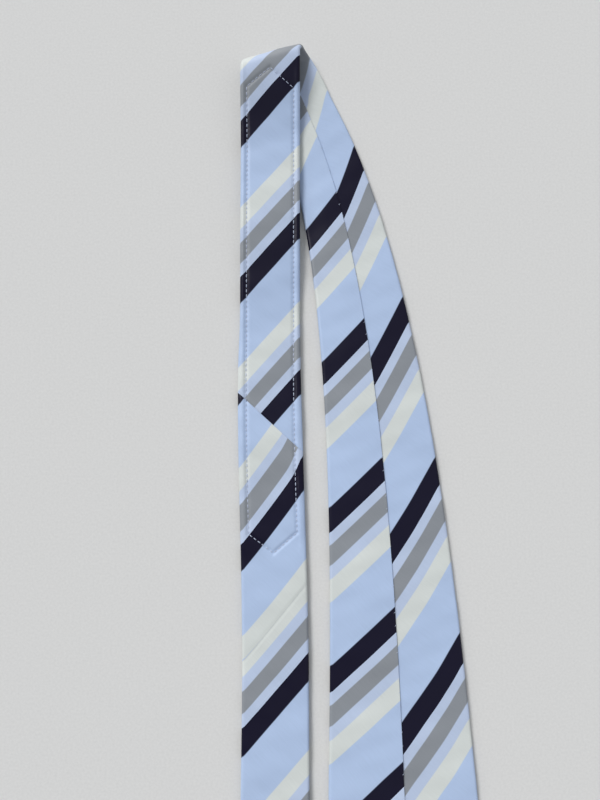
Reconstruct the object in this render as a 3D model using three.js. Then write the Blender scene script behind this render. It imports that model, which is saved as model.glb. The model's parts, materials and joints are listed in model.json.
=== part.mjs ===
// A striped silk necktie, folded once across its neck and laid on a flat surface.
// The wide half lies below with its back up; the narrow half lies above with its front up.
//
// Every piece is drawn in the tie's own flat coordinates and then laid out by place():
//   d  distance along the centreline from the fold,
//   w  distance across, positive towards +X,
//   n  height in the cloth's thickness, positive towards the front face.
import * as THREE from "three";

// Driving dimensions, in millimetres and degrees.
const WIDE_LENGTH = 670; // fold to the wide tip
const NARROW_LENGTH = 800; // fold to the narrow tip
const NECK_WIDTH = 36.5;
const WIDE_END_WIDTH = 100;
const NARROW_END_WIDTH = 43.5;
const NECK_PANEL_EXTRA = 2.2; // the neck panel is cut this much wider than the wide panel's neck
const NECK_PANEL_RUN = 70; // and the width changes over this length
const FLARE_START = 35; // where the wide half begins to widen
const FLARE_BULGE = 0.23; // 0 is a straight taper, more widens sooner
const TIP_LENGTH_SHARE = 0.5; // a tip's length over its width: 0.5 is a right-angled point
const TIP_BLUNT = 2.5; // how far before its exact point a tip's cloth turns back

const SHELL = 0.5; // a layer of the outer cloth
const GAP = 0.3; // between layers
const INTERLINING = 1.6;
const STAY = 0.6;
const TIPPING = 0.4;
const EDGE_ROUND = 1;
const LINING_INSET = 1.6; // from the folded edge to the interlining's edge

const SEAM_AT = 0.5; // the back seam, from the centreline
const UNDERLAP = 8.5; // how far the under flap passes the seam
const FLAP_MARGIN = 9; // the cloth turned in along a tip
const WIDE_NOTCH = 118; // wide tip to the point where its flaps part
const NARROW_NOTCH = 58;
const UNDERLAP_RUN_OUT = 25;

const FOLD_ANGLE = 16; // the fold's line, from the X axis
const FOLD_RADIUS = 6.5; // of the cloth's middle
const FOLD_SLIP = 2.7; // how far the halves slide apart along the fold
const FOLD_PLACE = new THREE.Vector2(-15.9, 248.6);
const FOLD_SPLIT = 0.3; // between the two halves, where the hinge opens
const SLANT_HOLD = 20; // cross-sections follow the fold's line up to here
const SLANT_END = 60; // and lie square to the tie from here

const WIDE_LEAN = 24; // the lean of the wide half's inner edge from -Y, dying away along it
const WIDE_LEAN_BACK = -2.5; // and it leans back a little, until it runs straight
const LEAN_BACK_END = [430, 520];
const LAID_APART = 26.3; // the lean carries the wide half this much further than the neck's width
const FOLD_LEAN_REACH = 30; // a further lean, down from the fold's own
const LEAN_HOLD = 12;
const FLARE_EASE = 30;
const DRIFT_LEAN = 1.9; // a slight bend of the narrow half
const DRIFT_START = 195;
const DRIFT_LENGTH = 190;

const REST_GAP = 0.4; // where the narrow half lies on the wide half
const FIRST_DROP = 50; // how far it takes to come down from the roll to the wide half
const LAST_DROP = 60; // and from the wide half to the surface
const PARTED_BY = 1.5; // how far apart the halves lie before that last drop

const NECK_SEAM = 231; // wide panel to neck panel, at the centreline
const NECK_SEAM_SLOPE = 0.95;
const TAIL_SEAM = 348; // neck panel to narrow panel
const TAIL_SEAM_SLOPE = -1.15;
const SEAM_SLANT_REACH = 85;
const SEAM_THREAD = 0.5;

const STITCH_TOP = 15.6; // the neck's topstitching, a long hexagon
const STITCH_END = 308;
const STITCH_HALF = 14.3;
const STITCH_POINT = 11.5;
const THREAD = 0.5;
const THREAD_HEIGHT = 0.4;
const THREAD_SINK = 0.1; // the back's threads lie this far below its surface
const STAY_BEYOND_STITCH = 1.6;
const STAY_BLUNT = 1;
const STAY_ROOM = 3; // the interlining thins this far ahead of the stay's ends

const KEEPER_AT = 480;
const KEEPER_DEPTH = 12;
const KEEPER_HALF = 25;
const KEEPER_FOOT = 5;
const KEEPER_RISE = 3; // how far across its sides lean in
const KEEPER_CLEAR = 4.8; // under the loop
const KEEPER_CLOTH = 0.6;
const KEEPER_TACK_INSET = 2;
const TACK_LENGTH = 6;
const TACK_WIDTH = 1.2;

// Heights in the cloth, from the front face down to the back.
const FRONT = 2;
const FRONT_IN = FRONT - SHELL;
const LINING_TOP = FRONT_IN - GAP;
const LINING_LOW = LINING_TOP - INTERLINING;
const UNDER_IN = LINING_LOW - GAP;
const UNDER_OUT = UNDER_IN - SHELL;
const OVER_IN = UNDER_OUT - GAP;
const BACK = OVER_IN - SHELL;
const MIDDLE = (FRONT + BACK) / 2;
const THICKNESS = FRONT - BACK;
const REST_LIFT = THICKNESS + REST_GAP;

const radians = THREE.MathUtils.degToRad;
const { smoothstep, clamp, lerp } = THREE.MathUtils;
const SLANT = Math.tan(radians(FOLD_ANGLE));
const ALONG_FOLD = new THREE.Vector2(Math.cos(radians(FOLD_ANGLE)), Math.sin(radians(FOLD_ANGLE)));
const PAST_FOLD = new THREE.Vector2(-ALONG_FOLD.y, ALONG_FOLD.x);
const QUARTER = (Math.PI / 2) * FOLD_RADIUS;

// How far along its flare the wide half is at d, from 0 to 1.
const wideShoulder = WIDE_LENGTH - TIP_LENGTH_SHARE * WIDE_END_WIDTH;
const flareShare = (d) => clamp((d - FLARE_START) / (wideShoulder - FLARE_START), 0, 1);

// Lean of each half's centreline from -Y towards +X. The wide half's inner edge lies along a curve of
// its own, and the flare leans the centreline away from it.
const wideReach = (NECK_WIDTH + LAID_APART) / radians(WIDE_LEAN);
function wideLean(d) {
  const run = Math.max(d - LEAN_HOLD, 0);
  const foldLean = 2 * FOLD_ANGLE - WIDE_LEAN - WIDE_LEAN_BACK;
  const nearFold = foldLean * Math.exp(-run / FOLD_LEAN_REACH);
  const back = WIDE_LEAN_BACK * (1 - smoothstep(d, ...LEAN_BACK_END));
  const edge = WIDE_LEAN * Math.exp(-run / wideReach) + nearFold + back;
  const widening = (WIDE_END_WIDTH - NECK_WIDTH) * (1 + FLARE_BULGE * (1 - 2 * flareShare(d)));
  const flare = Math.atan(widening / (wideShoulder - FLARE_START) / 2);
  return radians(edge) + flare * smoothstep(d, FLARE_START, FLARE_START + FLARE_EASE);
}

function narrowLean(d) {
  const share = clamp((d - DRIFT_START) / DRIFT_LENGTH, 0, 1);
  return radians(DRIFT_LEAN * Math.sin(Math.PI * share));
}

// The centreline's places, a millimetre apart, from a little before the fold.
function centreline(lean, length) {
  const before = 20;
  const places = [new THREE.Vector2()];
  for (let d = -before; d < length + before; d++) {
    const middle = lean(d + 0.5);
    places.push(places.at(-1).clone().add(new THREE.Vector2(Math.sin(middle), -Math.cos(middle))));
  }
  const atFold = places[before].clone();
  places.forEach((place) => place.sub(atFold));
  return (d) => {
    const step = clamp(Math.floor(d + before), 0, places.length - 2);
    return places[step].clone().lerp(places[step + 1], d + before - step);
  };
}

// The two halves: up is the side that their front faces, notch is where their back flaps part, and
// shoulder is where their tips begin.
const WIDE = {
  up: -1,
  lean: wideLean,
  line: centreline(wideLean, WIDE_LENGTH),
  length: WIDE_LENGTH,
  notch: WIDE_LENGTH - WIDE_NOTCH,
  shoulder: wideShoulder,
};
const NARROW = {
  up: 1,
  lean: narrowLean,
  line: centreline(narrowLean, NARROW_LENGTH),
  length: NARROW_LENGTH,
  notch: NARROW_LENGTH - NARROW_NOTCH,
  shoulder: NARROW_LENGTH - TIP_LENGTH_SHARE * NARROW_END_WIDTH,
};

// Half the finished width at d, with the tip's point.
function halfWidth(half, d) {
  const tip = (half.length - d) / (2 * TIP_LENGTH_SHARE);
  let width = NECK_WIDTH;
  if (half === WIDE) {
    const share = flareShare(d);
    width += (WIDE_END_WIDTH - NECK_WIDTH) * share * (1 + FLARE_BULGE * (1 - share));
  } else {
    const neckPanel = NECK_WIDTH + NECK_PANEL_EXTRA;
    width += NECK_PANEL_EXTRA * smoothstep(d, NECK_SEAM - NECK_PANEL_RUN, NECK_SEAM);
    width += (NARROW_END_WIDTH - neckPanel) * smoothstep(d, TAIL_SEAM, NARROW.shoulder);
  }
  return Math.min(width / 2, tip);
}

// Where a point of the flat tie lies on the ground, and how far it is past the fold.
function plan(half, d, w, height) {
  const lean = half.lean(d);
  const flat = half.line(d).add(new THREE.Vector2(Math.cos(lean), Math.sin(lean)).multiplyScalar(w));
  const inward = -flat.dot(PAST_FOLD);
  const turn = Math.min(inward / FOLD_RADIUS, Math.PI / 2);
  const along = flat.dot(ALONG_FOLD) - (half.up * FOLD_SLIP * smoothstep(inward, 0, QUARTER)) / 2;
  const past = (FOLD_RADIUS + height) * Math.cos(turn) - FOLD_RADIUS - Math.max(inward - QUARTER, 0);
  const ground = FOLD_PLACE.clone().addScaledVector(ALONG_FOLD, along).addScaledVector(PAST_FOLD, past);
  return { ground, inward, turn };
}

// How far past the fold the narrow half no longer lies on the wide half.
function partingPlace() {
  for (let d = QUARTER; d < NECK_SEAM; d++) {
    const wideEdge = plan(WIDE, d, -halfWidth(WIDE, d), 0);
    const narrowEdge = plan(NARROW, d, halfWidth(NARROW, d), 0);
    if (wideEdge.ground.x > narrowEdge.ground.x + PARTED_BY) return wideEdge.inward;
  }
  return NECK_SEAM;
}

const firstDropEnd = QUARTER + FIRST_DROP;
const lastDropStart = Math.max(partingPlace(), firstDropEnd);
const lastDropEnd = lastDropStart + LAST_DROP;

// Lays a point of the flat tie out: round the fold's roll, and down to the surface.
function place(half, d, w, n) {
  const height = n - MIDDLE;
  const { ground, inward, turn } = plan(half, d, w, height);
  let z = THICKNESS / 2 + FOLD_RADIUS + half.up * (FOLD_RADIUS + height) * Math.sin(turn);
  if (half === NARROW) {
    z -= (2 * FOLD_RADIUS - REST_LIFT) * smoothstep(inward, QUARTER, firstDropEnd);
    z -= REST_LIFT * smoothstep(inward, lastDropStart, lastDropEnd);
  }
  return new THREE.Vector3(ground.x, ground.y, z);
}

// The free edges of the two back flaps: they overlap at the seam and part below the notch.
function flapEdges(half, d) {
  const side = halfWidth(half, d);
  const parted = clamp((d - half.notch) / (half.shoulder - half.notch), 0, 1);
  const turned = Math.min(FLAP_MARGIN, 2 * side - SHELL - EDGE_ROUND);
  const under = SEAM_AT - UNDERLAP * (1 - smoothstep(d, half.notch - UNDERLAP_RUN_OUT, half.notch));
  return { over: lerp(SEAM_AT, turned - side, parted), under: lerp(under, side - turned, parted) };
}

// Cross-sections: points [w, n, across], where across is measured round the folded cloth.
function shellSection(half, d) {
  const side = halfWidth(half, d);
  const { over, under } = flapEdges(half, d);
  const r = EDGE_ROUND;
  const inner = side - SHELL;
  const innerRound = r - SHELL / 2;
  return [
    [under, UNDER_OUT, 2 * side - under],
    [side - r, UNDER_OUT, side + r],
    [side, UNDER_OUT + r, side],
    [side, FRONT - r, side],
    [side - r, FRONT, side - r],
    [r - side, FRONT, r - side],
    [-side, FRONT - r, -side],
    [-side, BACK + r, -side],
    [r - side, BACK, -side - r],
    [over, BACK, -2 * side - over],
    [over, OVER_IN, -2 * side - over],
    [innerRound - inner, OVER_IN, -side - r],
    [-inner, OVER_IN + innerRound, -side],
    [-inner, FRONT_IN - innerRound, -side],
    [innerRound - inner, FRONT_IN, r - side],
    [inner - innerRound, FRONT_IN, side - r],
    [inner, FRONT_IN - innerRound, side],
    [inner, UNDER_IN + innerRound, side],
    [inner - innerRound, UNDER_IN, side + r],
    [under, UNDER_IN, 2 * side - under],
  ];
}

function plate(left, right, low, high) {
  return [
    [left, low, left],
    [right, low, right],
    [right, high, right],
    [left, high, left],
  ];
}

// Cross-sections lie along the fold's line near the fold, and square to the tie past it.
function slantAt(half, u) {
  return -half.up * SLANT * (1 - smoothstep(u, SLANT_HOLD, SLANT_END));
}

// A closed solid through the cross-sections that section(d) gives at each station.
function sweep(half, stations, section, joins = () => 0) {
  const rings = stations.map((u) =>
    section(u).map(([w, n, across]) => place(half, u + slantAt(half, u) * w + joins(u) * across, w, n)),
  );
  const outline = section(stations[0]).map(([w, n]) => new THREE.Vector2(w, n));
  const lastOutline = section(stations.at(-1)).map(([w, n]) => new THREE.Vector2(w, n));
  const size = outline.length;
  const triangles = [];
  for (let ring = 0; ring < rings.length - 1; ring++)
    for (let i = 0; i < size; i++) {
      const j = (i + 1) % size;
      const here = ring * size;
      const next = here + size;
      triangles.push([here + i, here + j, next + j], [here + i, next + j, next + i]);
    }
  const last = (rings.length - 1) * size;
  THREE.ShapeUtils.triangulateShape(outline, []).forEach(([i, j, k]) => triangles.push([i, k, j]));
  THREE.ShapeUtils.triangulateShape(lastOutline, []).forEach(([i, j, k]) =>
    triangles.push([last + i, last + j, last + k]),
  );
  return solid(rings.flat(), triangles, half.up < 0);
}

// A closed band round a loop: outer(i) and inner(i) are flat places [d, w] of its two edges.
function loopBand(half, outer, inner, low, high) {
  const points = outer.flatMap(([d, w], i) => [
    place(half, d, w, low),
    place(half, d, w, high),
    place(half, ...inner[i], high),
    place(half, ...inner[i], low),
  ]);
  const triangles = [];
  outer.forEach((_, i) => {
    const here = 4 * i;
    const next = 4 * ((i + 1) % outer.length);
    for (let side = 0; side < 4; side++) {
      const other = (side + 1) % 4;
      triangles.push([here + side, here + other, next + other], [here + side, next + other, next + side]);
    }
  });
  return solid(points, triangles, half.up < 0);
}

function solid(points, triangles, flip) {
  const geometry = new THREE.BufferGeometry().setFromPoints(points);
  geometry.setIndex(triangles.flatMap(([a, b, c]) => (flip ? [a, c, b] : [a, b, c])));
  geometry.computeVertexNormals();
  return geometry;
}

// Stations along each half: close together where it bends, and further apart where it is straight.
const ROLL_STEPS = 7;
const STATION_CLEAR = 0.4; // the least distance between two stations
const EDGE_RUN = 6; // how far the close stations run past a slope, whose ends lie aslant
const rollEnd = QUARTER / Math.cos(radians(FOLD_ANGLE));
const rollStations = Array.from({ length: ROLL_STEPS }, (_, i) =>
  lerp(FOLD_SPLIT / 2 / Math.cos(radians(FOLD_ANGLE)), rollEnd, i / (ROLL_STEPS - 1)),
);

function every(step, from, to) {
  const count = Math.max(1, Math.round((to - from) / step));
  return Array.from({ length: count }, (_, i) => from + ((i + 1) * (to - from)) / count);
}

// Runs of stations from the fold's roll on: each is [where it ends, the spacing]. A run that an
// earlier one has passed adds none.
function stationsOf(runs) {
  const stations = [...rollStations];
  runs
    .filter(([end], i) => runs.slice(0, i).every(([earlier]) => earlier < end))
    .forEach(([end, step]) => stations.push(...every(step, stations.at(-1), end)));
  return stations;
}

const tipRuns = (half) => [
  [half.notch - UNDERLAP_RUN_OUT, 50],
  [half.notch, 12],
  [half.shoulder, 20],
  [half.length, 10],
];
WIDE.stations = stationsOf([
  [SLANT_END, 8],
  [SLANT_END + wideReach, 16],
  [KEEPER_AT, 30],
  ...tipRuns(WIDE),
]);
NARROW.stations = stationsOf([
  [firstDropEnd + EDGE_RUN, 4],
  [lastDropStart - EDGE_RUN, 12],
  [lastDropEnd + EDGE_RUN, 6],
  [NECK_SEAM, 14],
  [TAIL_SEAM, 12],
  [TAIL_SEAM + SEAM_SLANT_REACH, 14],
  ...tipRuns(NARROW),
]);

function between(half, from, to) {
  const inside = half.stations.filter((u) => u > from + STATION_CLEAR && u < to - STATION_CLEAR);
  return [from, ...inside, to];
}

// Adds stations of a piece's own, and drops those that lie too near them.
function withStations(stations, own) {
  return stations
    .filter((u) => own.every((at) => Math.abs(u - at) > GAP / 2))
    .concat(own)
    .sort((a, b) => a - b);
}

const foldEnd = rollStations[0];
const liningEnd = (half) => half.length - TIP_BLUNT - 2 * LINING_INSET;

// How far the panel joins slant the cross-sections, along the cloth's unfolded width.
function joinSlant(u) {
  const reach = (at) => 1 - smoothstep(Math.abs(u - at), 0, SEAM_SLANT_REACH);
  if (u < NECK_SEAM) return NECK_SEAM_SLOPE * reach(NECK_SEAM);
  if (u > TAIL_SEAM) return TAIL_SEAM_SLOPE * reach(TAIL_SEAM);
  return lerp(NECK_SEAM_SLOPE, TAIL_SEAM_SLOPE, (u - NECK_SEAM) / (TAIL_SEAM - NECK_SEAM));
}

function panel(half, from, to) {
  const joins = half === NARROW ? joinSlant : undefined;
  return sweep(half, between(half, from, to), (u) => shellSection(half, u), joins);
}

function panelSeam(at) {
  return panel(NARROW, at - SEAM_THREAD / 2, at + SEAM_THREAD / 2);
}

// The interlining thins over the tipping, and under the stay.
function interlining(half) {
  const tipped = tippingStart(half) - GAP;
  const stayFrom = stayStart - STAY_ROOM;
  const stayTo = stayEnd + STAY_ROOM;
  const steps = [tipped - GAP, tipped];
  if (half === NARROW) steps.push(stayFrom - GAP, stayFrom, stayTo, stayTo + GAP);
  return sweep(half, withStations(between(half, foldEnd, liningEnd(half)), steps), (u) => {
    const side = halfWidth(half, u) - LINING_INSET;
    const low = u < tipped ? LINING_LOW : LINING_LOW + TIPPING + GAP;
    const stayed = half === NARROW && u >= stayFrom && u <= stayTo;
    return plate(-side, side, low, stayed ? LINING_TOP - STAY - GAP : LINING_TOP);
  });
}

function tippingStart(half) {
  return half.notch - UNDERLAP_RUN_OUT / 2;
}

function tipping(half) {
  return sweep(half, between(half, tippingStart(half), liningEnd(half)), (u) => {
    const side = halfWidth(half, u) - LINING_INSET;
    return plate(-side, side, LINING_LOW, LINING_LOW + TIPPING);
  });
}

// The long hexagon that the neck's stitching and its stay share, at a distance out from the stitch line.
function hexagonHalf(d, out) {
  const half = STITCH_HALF + out;
  const slope = STITCH_HALF / STITCH_POINT;
  const reach = out * Math.hypot(1, 1 / slope);
  const fromPoint = Math.min(d - STITCH_TOP, STITCH_END - d) + reach;
  return Math.min(half, fromPoint * slope);
}

const stayReach = STAY_BEYOND_STITCH * Math.hypot(1, STITCH_POINT / STITCH_HALF);
const stayStart = STITCH_TOP - stayReach + STAY_BLUNT;
const stayEnd = STITCH_END + stayReach - STAY_BLUNT;

function neckStay() {
  const shoulders = [STITCH_TOP + STITCH_POINT, STITCH_END - STITCH_POINT];
  const stations = withStations(between(NARROW, stayStart, stayEnd), shoulders);
  const squared = (u) => -slantAt(NARROW, u);
  const section = (d) => {
    const side = hexagonHalf(d, STAY_BEYOND_STITCH);
    return plate(-side, side, LINING_TOP - STAY, LINING_TOP);
  };
  return sweep(NARROW, stations, section, squared);
}

function neckTopstitch() {
  const ahead = between(NARROW, STITCH_TOP + STITCH_POINT, STITCH_END - STITCH_POINT);
  const edge = (out) => {
    const reach = out * Math.hypot(1, STITCH_POINT / STITCH_HALF);
    const side = STITCH_HALF + out;
    const right = ahead.map((d) => [d, side]);
    const left = [...ahead].reverse().map((d) => [d, -side]);
    return [[STITCH_TOP - reach, 0], ...right, [STITCH_END + reach, 0], ...left];
  };
  const low = FRONT + GAP;
  return loopBand(NARROW, edge(THREAD / 2), edge(-THREAD / 2), low, low + THREAD_HEIGHT);
}

// The hand stitching that closes the back, lying beside the over flap's edge.
function slipStitch(half) {
  const low = BACK + THREAD_SINK;
  return sweep(half, between(half, foldEnd, half.notch - TACK_WIDTH), () =>
    plate(SEAM_AT + GAP, SEAM_AT + GAP + THREAD, low, low + THREAD_HEIGHT),
  );
}

// The thick stitch across the seam where the flaps part.
function barTack(half) {
  const start = half.notch - TACK_WIDTH + GAP;
  const low = BACK + THREAD_SINK;
  return sweep(half, [start, start + TACK_WIDTH], () =>
    plate(SEAM_AT + GAP, SEAM_AT + GAP + TACK_LENGTH, low, low + THREAD_HEIGHT),
  );
}

// A band across the wide half's back, sewn down at both ends and clear of the cloth between.
function keeperLoop() {
  const low = BACK - GAP;
  const high = BACK - KEEPER_CLEAR;
  const foot = KEEPER_HALF - KEEPER_FOOT;
  const top = foot - KEEPER_RISE;
  const under = [
    [-KEEPER_HALF, low],
    [-foot, low],
    [-top, high],
    [top, high],
    [foot, low],
    [KEEPER_HALF, low],
  ];
  const over = under.map(([w, n]) => [w, n - KEEPER_CLOTH]);
  const outline = [...over, ...under.reverse()].map(([w, n]) => [w, n, w]);
  return sweep(WIDE, [KEEPER_AT - KEEPER_DEPTH / 2, KEEPER_AT + KEEPER_DEPTH / 2], () => outline);
}

function keeperTack(side) {
  const middle = side * (KEEPER_HALF - KEEPER_FOOT / 2);
  const high = BACK - GAP - KEEPER_CLOTH - GAP;
  const reach = KEEPER_DEPTH / 2 - KEEPER_TACK_INSET;
  const ends = [KEEPER_AT - reach, KEEPER_AT + reach];
  return sweep(WIDE, ends, () => plate(middle - THREAD / 2, middle + THREAD / 2, high - THREAD_HEIGHT, high));
}

const cloth = { color: "#a9bcc6", roughness: 0.55, metalness: 0 };
const wool = { color: "#e6e1d6", roughness: 0.95, metalness: 0 };
const lining = { color: "#20243c", roughness: 0.45, metalness: 0 };
const thread = { color: "#cdd3d2", roughness: 0.6, metalness: 0 };

const tie = new THREE.Group();
function add(name, geometry, finish) {
  const mesh = new THREE.Mesh(geometry, new THREE.MeshStandardMaterial(finish));
  mesh.name = name;
  tie.add(mesh);
}

const joinGap = SEAM_THREAD / 2 + GAP;
add("wide_panel", panel(WIDE, foldEnd, WIDE_LENGTH - TIP_BLUNT), cloth);
add("wide_panel_neck_end", panel(NARROW, foldEnd, NECK_SEAM - joinGap), cloth);
add("neck_panel", panel(NARROW, NECK_SEAM + joinGap, TAIL_SEAM - joinGap), cloth);
add("narrow_panel", panel(NARROW, TAIL_SEAM + joinGap, NARROW_LENGTH - TIP_BLUNT), cloth);
add("neck_seam", panelSeam(NECK_SEAM), thread);
add("tail_seam", panelSeam(TAIL_SEAM), thread);
add("wide_interlining", interlining(WIDE), wool);
add("narrow_interlining", interlining(NARROW), wool);
add("neck_stay", neckStay(), wool);
add("neck_topstitch", neckTopstitch(), thread);
add("wide_tipping", tipping(WIDE), lining);
add("narrow_tipping", tipping(NARROW), lining);
add("wide_slip_stitch", slipStitch(WIDE), thread);
add("narrow_slip_stitch", slipStitch(NARROW), thread);
add("wide_bar_tack", barTack(WIDE), thread);
add("narrow_bar_tack", barTack(NARROW), thread);
add("keeper_loop", keeperLoop(), cloth);
add("keeper_tack_left", keeperTack(-1), thread);
add("keeper_tack_right", keeperTack(1), thread);

// The origin is at the middle of the tie's box, on the surface it lies on.
const box = new THREE.Box3().setFromObject(tie);
const middle = box.getCenter(new THREE.Vector3());
tie.position.set(-middle.x, -middle.y, -box.min.z);

export default tie;
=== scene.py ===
import json
from math import cos, hypot, pi, radians, sin, tan

import bpy
import numpy as np
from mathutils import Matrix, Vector


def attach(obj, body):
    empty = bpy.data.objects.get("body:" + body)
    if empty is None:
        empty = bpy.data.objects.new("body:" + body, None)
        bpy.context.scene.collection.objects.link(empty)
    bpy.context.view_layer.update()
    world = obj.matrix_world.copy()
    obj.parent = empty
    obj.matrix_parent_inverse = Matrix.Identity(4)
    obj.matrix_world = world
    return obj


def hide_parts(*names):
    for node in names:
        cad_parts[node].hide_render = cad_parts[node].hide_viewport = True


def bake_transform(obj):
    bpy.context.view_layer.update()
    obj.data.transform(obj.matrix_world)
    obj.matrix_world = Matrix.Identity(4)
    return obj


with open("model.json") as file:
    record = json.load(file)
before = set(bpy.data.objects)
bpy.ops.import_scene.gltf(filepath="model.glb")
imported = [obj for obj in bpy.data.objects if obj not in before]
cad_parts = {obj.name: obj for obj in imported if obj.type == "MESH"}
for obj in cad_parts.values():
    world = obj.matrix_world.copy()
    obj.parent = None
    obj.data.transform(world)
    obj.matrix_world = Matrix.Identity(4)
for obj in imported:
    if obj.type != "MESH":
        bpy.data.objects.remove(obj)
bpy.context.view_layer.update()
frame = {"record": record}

# ---------------------------------------------------------------- the tie's sizes, as in the CAD model
WIDE_LENGTH, NARROW_LENGTH = 670, 800  # from the fold to each tip
NECK_WIDTH, WIDE_END_WIDTH, NARROW_END_WIDTH = 36.5, 100, 43.5
NECK_PANEL_EXTRA, NECK_PANEL_RUN = 2.2, 70
FLARE_START, FLARE_BULGE, FLARE_EASE = 35, 0.23, 30
TIP_LENGTH_SHARE = 0.5  # a tip's length, as a share of its width
SHELL, GAP, INTERLINING, STAY, TIPPING = 0.5, 0.3, 1.6, 0.6, 0.4  # thicknesses
LINING_INSET = 1.6
SEAM_AT, UNDERLAP, FLAP_MARGIN = 0.5, 8.5, 9
WIDE_NOTCH, NARROW_NOTCH, UNDERLAP_RUN_OUT = 118, 58, 25
FOLD_ANGLE, FOLD_RADIUS, FOLD_SLIP, FOLD_SPLIT = 16, 6.5, 2.7, 0.3
FOLD_PLACE = np.array([-15.9, 248.6])  # in the flat layout, whose origin is found below
SLANT_HOLD, SLANT_END = 20, 60
WIDE_LEAN, WIDE_LEAN_BACK, LEAN_BACK_END = 24, -2.5, (430, 520)
LAID_APART, FOLD_LEAN_REACH, LEAN_HOLD = 26.3, 30, 12
DRIFT_LEAN, DRIFT_START, DRIFT_LENGTH = 1.9, 195, 190
REST_GAP, FIRST_DROP, LAST_DROP, PARTED_BY = 0.4, 50, 60, 1.5
NECK_SEAM, NECK_SEAM_SLOPE = 231, 0.95
TAIL_SEAM, TAIL_SEAM_SLOPE = 348, -1.15
SEAM_SLANT_REACH = 85
STITCH_TOP, STITCH_END, STITCH_HALF, STITCH_POINT = 15.6, 308, 14.3, 11.5  # the topstitches' hexagon
STITCH_ARM = hypot(STITCH_POINT, STITCH_HALF)
STITCH_STRAIGHT = STITCH_END - STITCH_TOP - 2 * STITCH_POINT
STAY_BEYOND_STITCH = 1.6
KEEPER_AT, KEEPER_DEPTH, KEEPER_HALF, KEEPER_FOOT = 480, 12, 25, 5
KEEPER_CLEAR = 4.8
TACK_LENGTH, TACK_WIDTH = 6, 1.2

# Heights in the cloth, from the front face down to the back.
FRONT = 2
LINING_TOP = FRONT - SHELL - GAP
LINING_LOW = LINING_TOP - INTERLINING
UNDER_OUT = LINING_LOW - GAP - SHELL
BACK = UNDER_OUT - GAP - SHELL
THICKNESS = FRONT - BACK
REST_LIFT = THICKNESS + REST_GAP

# ------------------------------------------------------------------------------------------ the layout
WIDE, NARROW = -1, 1  # each half's name is also the side that its front faces
LENGTH = {WIDE: WIDE_LENGTH, NARROW: NARROW_LENGTH}
SHOULDER = {
    WIDE: WIDE_LENGTH - TIP_LENGTH_SHARE * WIDE_END_WIDTH,
    NARROW: NARROW_LENGTH - TIP_LENGTH_SHARE * NARROW_END_WIDTH,
}
NOTCH = {WIDE: WIDE_LENGTH - WIDE_NOTCH, NARROW: NARROW_LENGTH - NARROW_NOTCH}
SLANT = tan(radians(FOLD_ANGLE))
ALONG_FOLD = np.array([cos(radians(FOLD_ANGLE)), sin(radians(FOLD_ANGLE))])
PAST_FOLD = np.array([-ALONG_FOLD[1], ALONG_FOLD[0]])
QUARTER = pi / 2 * FOLD_RADIUS  # the length of each half's share of the fold's roll
BEFORE = 20  # how far the centrelines are worked out beyond their ends


def smooth(x, low, high):
    t = np.clip((x - low) / (high - low), 0, 1)
    return t * t * (3 - 2 * t)


def mix(a, b, t):
    return a + (b - a) * t


def flare_share(d):
    return np.clip((d - FLARE_START) / (SHOULDER[WIDE] - FLARE_START), 0, 1)


def lean(half, d):
    """How far the centreline turns from straight down, towards +X, in radians."""
    if half == NARROW:
        return np.radians(DRIFT_LEAN * np.sin(pi * np.clip((d - DRIFT_START) / DRIFT_LENGTH, 0, 1)))
    run = np.maximum(d - LEAN_HOLD, 0)
    reach = (NECK_WIDTH + LAID_APART) / radians(WIDE_LEAN)
    near_fold = (2 * FOLD_ANGLE - WIDE_LEAN - WIDE_LEAN_BACK) * np.exp(-run / FOLD_LEAN_REACH)
    back = WIDE_LEAN_BACK * (1 - smooth(d, *LEAN_BACK_END))
    widening = (WIDE_END_WIDTH - NECK_WIDTH) * (1 + FLARE_BULGE * (1 - 2 * flare_share(d)))
    flare = np.arctan(widening / (SHOULDER[WIDE] - FLARE_START) / 2)
    edge = np.radians(WIDE_LEAN * np.exp(-run / reach) + near_fold + back)
    return edge + flare * smooth(d, FLARE_START, FLARE_START + FLARE_EASE)


def centreline(half):
    """The centreline's places, one for each millimetre, from BEFORE ahead of the fold."""
    leans = lean(half, np.arange(-BEFORE, LENGTH[half] + BEFORE) + 0.5)
    steps = np.stack([np.sin(leans), -np.cos(leans)], -1)
    places = np.concatenate([np.zeros((1, 2)), np.cumsum(steps, 0)])
    return places - places[BEFORE]


LINE = {half: centreline(half) for half in (WIDE, NARROW)}


def half_width(half, d):
    """Half of the folded cloth's width, which runs out at the tip."""
    if half == WIDE:
        share = flare_share(d)
        width = NECK_WIDTH + (WIDE_END_WIDTH - NECK_WIDTH) * share * (1 + FLARE_BULGE * (1 - share))
    else:
        width = NECK_WIDTH + NECK_PANEL_EXTRA * smooth(d, NECK_SEAM - NECK_PANEL_RUN, NECK_SEAM)
        neck_panel = NECK_WIDTH + NECK_PANEL_EXTRA
        width = width + (NARROW_END_WIDTH - neck_panel) * smooth(d, TAIL_SEAM, SHOULDER[NARROW])
    return np.minimum(width, (LENGTH[half] - d) / TIP_LENGTH_SHARE) / 2


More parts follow.
